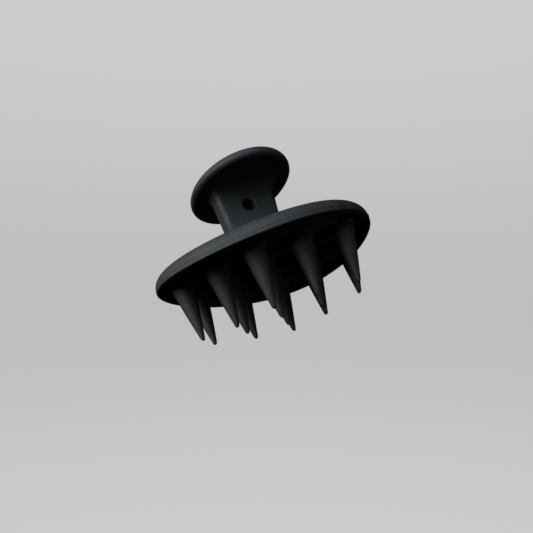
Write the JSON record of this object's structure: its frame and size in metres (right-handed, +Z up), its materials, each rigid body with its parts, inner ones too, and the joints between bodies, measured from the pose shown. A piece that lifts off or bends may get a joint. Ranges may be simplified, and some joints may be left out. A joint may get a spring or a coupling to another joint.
{
  "type": "scalp massager brush",
  "caption": "Round hand-held scalp massager with stout soft cone bristles under a domed base and an oval dished palm knob on a flat neck with a hanging hole.",
  "frame": {"origin": "middle of the base on the plane of the bristle tips, which the upright brush stands on", "axes": "+Z up along the axis of the round base, +Y along the hanging hole, +X across the neck"},
  "size_m": [0.085, 0.085, 0.0608],
  "materials": {
    "moulded_shell": "matt black, slightly dusty",
    "soft_rubber": "matt black silicone rubber",
    "inner_plastic": "plain moulded",
    "screw_steel": "zinc plated"
  },
  "bodies": {
    "massager_body": {"base_cover": "moulded_shell", "handle": "moulded_shell", "palm_cap": "moulded_shell", "backing_plate": "inner_plastic", "bristle_pad": "soft_rubber", "retaining_ring": "moulded_shell", "handle_screws": "screw_steel"},
    "bristle_01": {"bristle_01": "soft_rubber"},
    "bristle_02": {"bristle_02": "soft_rubber"},
    "bristle_03": {"bristle_03": "soft_rubber"},
    "bristle_04": {"bristle_04": "soft_rubber"},
    "bristle_05": {"bristle_05": "soft_rubber"},
    "bristle_06": {"bristle_06": "soft_rubber"},
    "bristle_07": {"bristle_07": "soft_rubber"},
    "bristle_08": {"bristle_08": "soft_rubber"},
    "bristle_09": {"bristle_09": "soft_rubber"},
    "bristle_10": {"bristle_10": "soft_rubber"},
    "bristle_11": {"bristle_11": "soft_rubber"},
    "bristle_12": {"bristle_12": "soft_rubber"},
    "bristle_13": {"bristle_13": "soft_rubber"},
    "bristle_14": {"bristle_14": "soft_rubber"}
  },
  "joints": [
    {"name": "bristle_01_splay", "type": "hinge", "parent": "massager_body", "child": "bristle_01", "pos_m": [-0.03214, 0.00561, 0.0217], "axis": [0.1719, 0.9851, 0], "range_deg": [-12, 12], "stiffness_Nm_per_rad": 0.03},
    {"name": "bristle_02_splay", "type": "hinge", "parent": "massager_body", "child": "bristle_02", "pos_m": [-0.02421, 0.02188, 0.0217], "axis": [0.6705, 0.742, 0], "range_deg": [-12, 12], "stiffness_Nm_per_rad": 0.03},
    {"name": "bristle_03_splay", "type": "hinge", "parent": "massager_body", "child": "bristle_03", "pos_m": [-0.02202, -0.0094, 0.0217], "axis": [-0.3924, 0.9198, 0], "range_deg": [-12, 12], "stiffness_Nm_per_rad": 0.03},
    {"name": "bristle_04_splay", "type": "hinge", "parent": "massager_body", "child": "bristle_04", "pos_m": [-0.01409, 0.00687, 0.0217], "axis": [0.4384, 0.8988, 0], "range_deg": [-12, 12], "stiffness_Nm_per_rad": 0.03},
    {"name": "bristle_05_splay", "type": "hinge", "parent": "massager_body", "child": "bristle_05", "pos_m": [-0.00615, 0.02314, 0.0217], "axis": [0.9664, 0.257, 0], "range_deg": [-12, 12], "stiffness_Nm_per_rad": 0.03},
    {"name": "bristle_06_splay", "type": "hinge", "parent": "massager_body", "child": "bristle_06", "pos_m": [-0.0119, -0.0244, 0.0217], "axis": [-0.8988, 0.4384, 0], "range_deg": [-12, 12], "stiffness_Nm_per_rad": 0.03},
    {"name": "bristle_07_splay", "type": "hinge", "parent": "massager_body", "child": "bristle_07", "pos_m": [-0.00397, -0.00813, 0.0217], "axis": [-0.8988, 0.4384, 0], "range_deg": [-12, 12], "stiffness_Nm_per_rad": 0.03},
    {"name": "bristle_08_splay", "type": "hinge", "parent": "massager_body", "child": "bristle_08", "pos_m": [0.00397, 0.00813, 0.0217], "axis": [0.8988, -0.4384, 0], "range_deg": [-12, 12], "stiffness_Nm_per_rad": 0.03},
    {"name": "bristle_09_splay", "type": "hinge", "parent": "massager_body", "child": "bristle_09", "pos_m": [0.0119, 0.0244, 0.0217], "axis": [0.8988, -0.4384, 0], "range_deg": [-12, 12], "stiffness_Nm_per_rad": 0.03},
    {"name": "bristle_10_splay", "type": "hinge", "parent": "massager_body", "child": "bristle_10", "pos_m": [0.00615, -0.02314, 0.0217], "axis": [-0.9664, -0.257, 0], "range_deg": [-12, 12], "stiffness_Nm_per_rad": 0.03},
    {"name": "bristle_11_splay", "type": "hinge", "parent": "massager_body", "child": "bristle_11", "pos_m": [0.01409, -0.00687, 0.0217], "axis": [-0.4384, -0.8988, 0], "range_deg": [-12, 12], "stiffness_Nm_per_rad": 0.03},
    {"name": "bristle_12_splay", "type": "hinge", "parent": "massager_body", "child": "bristle_12", "pos_m": [0.02202, 0.0094, 0.0217], "axis": [0.3924, -0.9198, 0], "range_deg": [-12, 12], "stiffness_Nm_per_rad": 0.03},
    {"name": "bristle_13_splay", "type": "hinge", "parent": "massager_body", "child": "bristle_13", "pos_m": [0.02421, -0.02188, 0.0217], "axis": [-0.6705, -0.742, 0], "range_deg": [-12, 12], "stiffness_Nm_per_rad": 0.03},
    {"name": "bristle_14_splay", "type": "hinge", "parent": "massager_body", "child": "bristle_14", "pos_m": [0.03214, -0.00561, 0.0217], "axis": [-0.1719, -0.9851, 0], "range_deg": [-12, 12], "stiffness_Nm_per_rad": 0.03}
  ]
}
